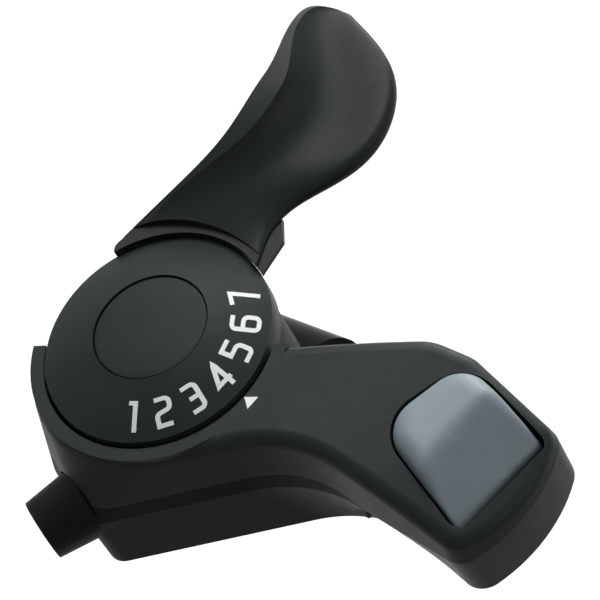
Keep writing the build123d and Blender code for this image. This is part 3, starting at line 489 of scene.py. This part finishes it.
def stroke_rails(points, half):
    """Left and right edges of a stroke, mitred at its corners."""
    left, right = [], []
    for index, point in enumerate(points):
        before = (point - points[index - 1]).normalized() if index else None
        after = (points[index + 1] - point).normalized() if index + 1 < len(points) else None
        before = before or after
        after = after or before
        along = (before + after).normalized()
        side = Vector((-along.y, along.x))
        reach = half / max(MITRE_LIMIT, side.dot(Vector((-before.y, before.x))))
        left.append(point + side * reach)
        right.append(point - side * reach)
    return left, right


def printed(name, outlines, carrier, body):
    """Thin raised print of strips, each a pair of edges, that follows the carrier's surface."""
    tree = surface_of(carrier)
    vertices, faces = [], []
    for layer, (left, right) in enumerate(outlines):
        base = len(vertices)
        raise_by = PRINT_RAISE + PRINT_LAYER * layer
        # Four vertices at each step: left upper, left lower, right upper and right lower
        for pair in zip(left, right):
            for x, y in pair:
                level = height_at(tree, x, y)
                vertices.append((*over_bar(x, y), (level + raise_by) * MM))
                vertices.append((*over_bar(x, y), (level - PRINT_SINK) * MM))
        end = len(vertices) - 4
        for here in range(base, end, 4):
            there = here + 4
            faces.append((here, here + 2, there + 2, there))
            faces.append((here + 1, there + 1, there + 3, here + 3))
            faces.append((here, there, there + 1, here + 1))
            faces.append((here + 2, here + 3, there + 3, there + 2))
        faces.append((base, base + 1, base + 3, base + 2))
        faces.append((end, end + 2, end + 3, end + 1))
    piece = new_piece(name, vertices, faces, materials["white_ink"])
    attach(piece, body)


def bearing(angle):
    """Directions outward from the dial's axis and across, at an angle in degrees."""
    turn = math.radians(angle)
    outward = Vector((math.cos(turn), math.sin(turn)))
    return outward, Vector((-outward.y, outward.x))


def number_outlines(strokes, angle):
    """Edges of a number's strokes on the dial, with the number's foot outward."""
    outward, across = bearing(angle)
    outlines = []
    for stroke in strokes:
        outlines.append([
            [outward * (NUMBER_RADIUS - (point.y - TALL / 2) * NUMBER_WIDTH)
             + across * (point.x - 0.5) * NUMBER_WIDTH * NUMBER_SPREAD for point in rail]
            for rail in stroke_rails(rounded_path(stroke), LEFT)
        ])
    return outlines


def pointer_outline():
    """Edges of the mark, from its tip at the dial out to its base."""
    outward, across = bearing(POINTER_ANGLE)
    left, right = [], []
    for step in range(POINTER_STEPS + 1):
        share = step / POINTER_STEPS
        reach = POINTER_TIP_RADIUS + (POINTER_BASE_RADIUS - POINTER_TIP_RADIUS) * share
        half = max(POINTER_HALF_TIP, POINTER_HALF_WIDTH * share)
        left.append(outward * reach + across * half)
        right.append(outward * reach - across * half)
    return left, right


for gear, strokes in NUMBER_STROKES.items():
    outlines = number_outlines(strokes, NUMBER_MIDDLE + (gear - MIDDLE_GEAR) * NUMBER_STEP)
    printed(f"number_{gear}", outlines, "indicator_dial", "lever")
printed("pointer_mark", [pointer_outline()], "upper_cover", "housing")


# Release button with its soft ridge, which leaves less of a gap in the pocket than the plain solid

def button_edges():
    """Edges in plan, each moved out by its growth."""
    edges = []
    for index, growth in enumerate(BUTTON_GROWTH):
        start = Vector(BUTTON_CORNERS[index])
        stop = Vector(BUTTON_CORNERS[(index + 1) % len(BUTTON_CORNERS)])
        along = (stop - start).normalized()
        inward = Vector((along.y, -along.x))
        edges.append(Edge(start - inward * growth, inward, along))
    return edges


def button_turns(edges):
    """Rounded corners in plan, each between the edge before it and the edge after it."""
    turns = []
    for index, radius in enumerate(BUTTON_ROUNDS):
        before, after = edges[index - 1], edges[index]
        gap = after.start - before.start
        cross = before.along.x * after.along.y - before.along.y * after.along.x
        reach = (gap.x * after.along.y - gap.y * after.along.x) / cross
        corner = before.start + before.along * reach
        half = (-before.along).angle(after.along) / 2
        centre = corner + (after.along - before.along).normalized() * radius / math.sin(half)
        turns.append(Turn(centre, radius, before, after))
    return turns


def button_plan(turns):
    """Points round the plan outline, close together on its corners and its runs alike."""
    points = []
    for turn in turns:
        start, stop = -turn.before.inward * turn.radius, -turn.after.inward * turn.radius
        count = math.ceil(math.degrees(start.angle(stop)) / BUTTON_ARC_STEP)
        points += arc(turn.centre, start, stop, max(BUTTON_ARC_LEAST, count))
    full = []
    for index, point in enumerate(points):
        run = points[(index + 1) % len(points)] - point
        count = max(1, math.ceil(run.length / BUTTON_RUN_STEP))
        full += [point + run * step / count for step in range(count)]
    return full


def button_depth(point, edges, turns):
    """Distance of a place in plan from the outline, inwards."""
    for turn in turns:
        out = point - turn.centre
        if out.dot(turn.before.along) > 0 and out.dot(turn.after.along) < 0:
            return max(0.0, turn.radius - out.length)
    return max(0.0, min((point - edge.start).dot(edge.inward) for edge in edges))


def button_height(point, edges, turns):
    """Height of the button's top, a shoulder and a slope on a soft ridge, with rounded edges."""
    grip = edges[BUTTON_GRIP_EDGE]
    run = (point - grip.start).dot(grip.inward)
    level = BUTTON_LOW + run * math.tan(math.radians(BUTTON_SLOPE))
    gap = (level - BUTTON_TOP) / BUTTON_RIDGE
    if gap > BUTTON_RIDGE_END:
        level = BUTTON_TOP - BUTTON_RIDGE * math.log1p(math.exp(-gap))
    share = min(1.0, max(0.0, (run - BUTTON_CRISP_RUN) / BUTTON_SOFTEN_RUN))
    share = share * share * (3 - 2 * share)
    reach = BUTTON_CRISP_EDGE + (BUTTON_SOFT_EDGE - BUTTON_CRISP_EDGE) * share
    inset = max(0.0, reach - button_depth(point, edges, turns))
    return level - reach + math.sqrt(max(0.0, reach**2 - inset**2))


def push_button():
    """Closed body of the button: base, upright sides and the shaped top."""
    edges = button_edges()
    turns = button_turns(edges)
    plan = button_plan(turns)
    count = len(plan)
    middle = sum(plan, Vector((0.0, 0.0))) / count
    vertices = [(*over_bar(point.x, point.y), (BUTTON_BASE + RIM_LEVEL) * MM) for point in plan]
    top = [point.lerp(middle, share) for share in BUTTON_RINGS for point in plan] + [middle]
    for point in top:
        level = button_height(point, edges, turns)
        vertices.append((*over_bar(point.x, point.y), (level + RIM_LEVEL) * MM))
    faces = [tuple(range(count))]
    faces += ring_faces(count, len(BUTTON_RINGS) + 1, clockwise=True, tip=True)
    piece = new_piece("push_button", vertices, faces, materials["button_plastic"])
    shaded(piece)
    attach(piece, "release")
    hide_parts("release_button")


push_button()


# Cap of the dial, turned with close rings so that its slight crown shades evenly

def crowned_cap():
    """Closed disc with a slight crown and a small rounded edge, in the place of the cap."""
    low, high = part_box("dial_cap")
    centre_x, centre_y = (low[0] + high[0]) / 2, (low[1] + high[1]) / 2
    radius = (high[0] - low[0]) / 2
    edge, crown = CAP_EDGE * MM, CAP_CROWN * MM
    flat = radius - edge
    profile = [(radius, low[2]), (radius, high[2] - crown - edge)]
    for step in range(1, CAP_EDGE_STEPS + 1):
        turn = math.radians(90.0 * step / CAP_EDGE_STEPS)
        level = high[2] - crown - edge * (1 - math.sin(turn))
        profile.append((flat + edge * math.cos(turn), level))
    for step in range(1, CAP_RINGS):
        share = 1 - step / CAP_RINGS
        profile.append((flat * share, high[2] - crown * share**2))
    vertices = []
    for reach, level in profile:
        for index in range(CAP_SIDES):
            angle = 2 * math.pi * index / CAP_SIDES
            x, y = centre_x + reach * math.cos(angle), centre_y + reach * math.sin(angle)
            vertices.append((x, y, level))
    vertices.append((centre_x, centre_y, high[2]))
    faces = ring_faces(CAP_SIDES, len(profile), tip=True)
    faces.append(tuple(reversed(range(CAP_SIDES))))
    piece = new_piece("crowned_cap", vertices, faces, materials["dial_plastic"])
    shaded(piece)
    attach(piece, "lever")
    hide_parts("dial_cap")


crowned_cap()


# Thin dark strip on the case floor, which closes the seam under the button's grip end: painted
# shade in the seam

def pocket_shade_strip():
    """Strip with an end of a few flats and a slightly pillowed top."""
    count = len(SHADE_STRIP_PLAN)
    middle = sum((Vector(corner) for corner in SHADE_STRIP_PLAN), Vector((0.0, 0.0))) / count
    rings = ((0.0, SHADE_STRIP_LOW), (0.0, SHADE_STRIP_LOW + SHADE_STRIP_UPRIGHT * SHADE_STRIP_THICK),
             (SHADE_STRIP_DRAW, SHADE_STRIP_LOW + SHADE_STRIP_THICK))
    vertices = []
    for share, level in rings:
        for corner in SHADE_STRIP_PLAN:
            spot = Vector(corner).lerp(middle, share)
            vertices.append((spot.x * MM, spot.y * MM, level * MM))
    last = (len(rings) - 1) * count
    faces = [tuple(reversed(range(count))), tuple(range(last, last + count))]
    faces += ring_faces(count, len(rings))
    # Dark sheet in the seam, which stands in for the shade there
    piece = new_piece("pocket_shade_strip", vertices, faces, materials["seam_shade_dark"])
    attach(piece, "housing")


pocket_shade_strip()


# Springs in the case, which on the real shifter give way as the button is pressed, each a piece of
# its own with a copy of its mesh

def spring_piece(name, node):
    """Piece with a copy of a spring's own mesh, which hides the spring's node."""
    piece = bpy.data.objects.new(name, nodes[node].data.copy())
    bpy.context.scene.collection.objects.link(piece)
    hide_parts(node)
    return piece


coil = spring_piece("return_coil", "button_spring")
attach(coil, "housing")
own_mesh(coil)
leaf = spring_piece("detent_leaf", "detent_spring")
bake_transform(leaf)


# Floor, light and camera

def seen_directly(tree):
    """One for rays from the camera, from gloss and through glass, which see the background."""
    path = tree.nodes.new("ShaderNodeLightPath")
    seen = path.outputs["Is Camera Ray"]
    for ray in ("Is Glossy Ray", "Is Transmission Ray"):
        either = tree.nodes.new("ShaderNodeMath")
        either.operation = "MAXIMUM"
        tree.links.new(seen, either.inputs[0])
        tree.links.new(path.outputs[ray], either.inputs[1])
        seen = either.outputs[0]
    return seen


def floor_material():
    """Pale floor that reads as white to the camera and keeps a soft shadow."""
    material = bpy.data.materials.new("pale_floor")
    tree = cleared(material)
    output = tree.nodes.new("ShaderNodeOutputMaterial")
    diffuse = tree.nodes.new("ShaderNodeBsdfDiffuse")
    diffuse.inputs["Color"].default_value = FLOOR_GREY
    glow = tree.nodes.new("ShaderNodeEmission")
    glow.inputs["Color"].default_value = WHITE
    strength = ranged(tree, seen_directly(tree), target=(0.0, FLOOR_GLOW))
    tree.links.new(strength, glow.inputs["Strength"])
    both = tree.nodes.new("ShaderNodeAddShader")
    tree.links.new(diffuse.outputs["BSDF"], both.inputs[0])
    tree.links.new(glow.outputs["Emission"], both.inputs[1])
    tree.links.new(both.outputs["Shader"], output.inputs["Surface"])
    return material


def studio_world():
    """World that is a weak fill light on the object and white behind it."""
    world = bpy.data.worlds.new("studio")
    tree = cleared(world)
    output = tree.nodes.new("ShaderNodeOutputWorld")
    choice = tree.nodes.new("ShaderNodeMixShader")
    tree.links.new(seen_directly(tree), choice.inputs["Fac"])
    for place, strength in ((1, FILL_STRENGTH), (2, BACKGROUND_STRENGTH)):
        light = tree.nodes.new("ShaderNodeBackground")
        light.inputs["Color"].default_value = WHITE
        light.inputs["Strength"].default_value = strength
        tree.links.new(light.outputs["Background"], choice.inputs[place])
    tree.links.new(choice.outputs["Shader"], output.inputs["Surface"])
    return world


def soft_lamp(name, way, distance, size, power):
    """Square soft lamp, placed by directions of the picture and turned to the object."""
    right, up, back = way
    aim = Vector(CAMERA_RIGHT) * right + Vector(CAMERA_UP) * up + Vector(CAMERA_BACK) * back
    aim.normalize()
    centre = (Vector(cad_box[0]) + Vector(cad_box[1])) / 2
    lamp = bpy.data.lights.new(name, "AREA")
    lamp.shape = "SQUARE"
    lamp.size = size
    lamp.energy = power
    piece = bpy.data.objects.new(name, lamp)
    piece.location = centre + aim * distance
    piece.rotation_euler = aim.to_track_quat("Z", "Y").to_euler()
    bpy.context.scene.collection.objects.link(piece)


floor_level = cad_box[0][2] - FLOOR_DROP
floor_corners = [(-FLOOR_HALF, -FLOOR_HALF, floor_level), (FLOOR_HALF, -FLOOR_HALF, floor_level),
                 (FLOOR_HALF, FLOOR_HALF, floor_level), (-FLOOR_HALF, FLOOR_HALF, floor_level)]
floor = new_piece("floor", floor_corners, [(0, 1, 2, 3)], floor_material())

bpy.context.scene.world = studio_world()
for name, values in LAMPS.items():
    soft_lamp(name, *values)

lens = bpy.data.cameras.new("camera")
lens.lens = CAMERA_LENS
lens.sensor_width = CAMERA_SENSOR
lens.clip_start = CAMERA_NEAR
camera = bpy.data.objects.new("camera", lens)
turn = Matrix((CAMERA_RIGHT, CAMERA_UP, CAMERA_BACK)).transposed()
camera.matrix_world = Matrix.Translation(Vector(CAMERA_PLACE) * MM) @ turn.to_4x4()
bpy.context.scene.collection.objects.link(camera)
bpy.context.scene.camera = camera
bpy.context.scene.view_settings.view_transform = "Standard"
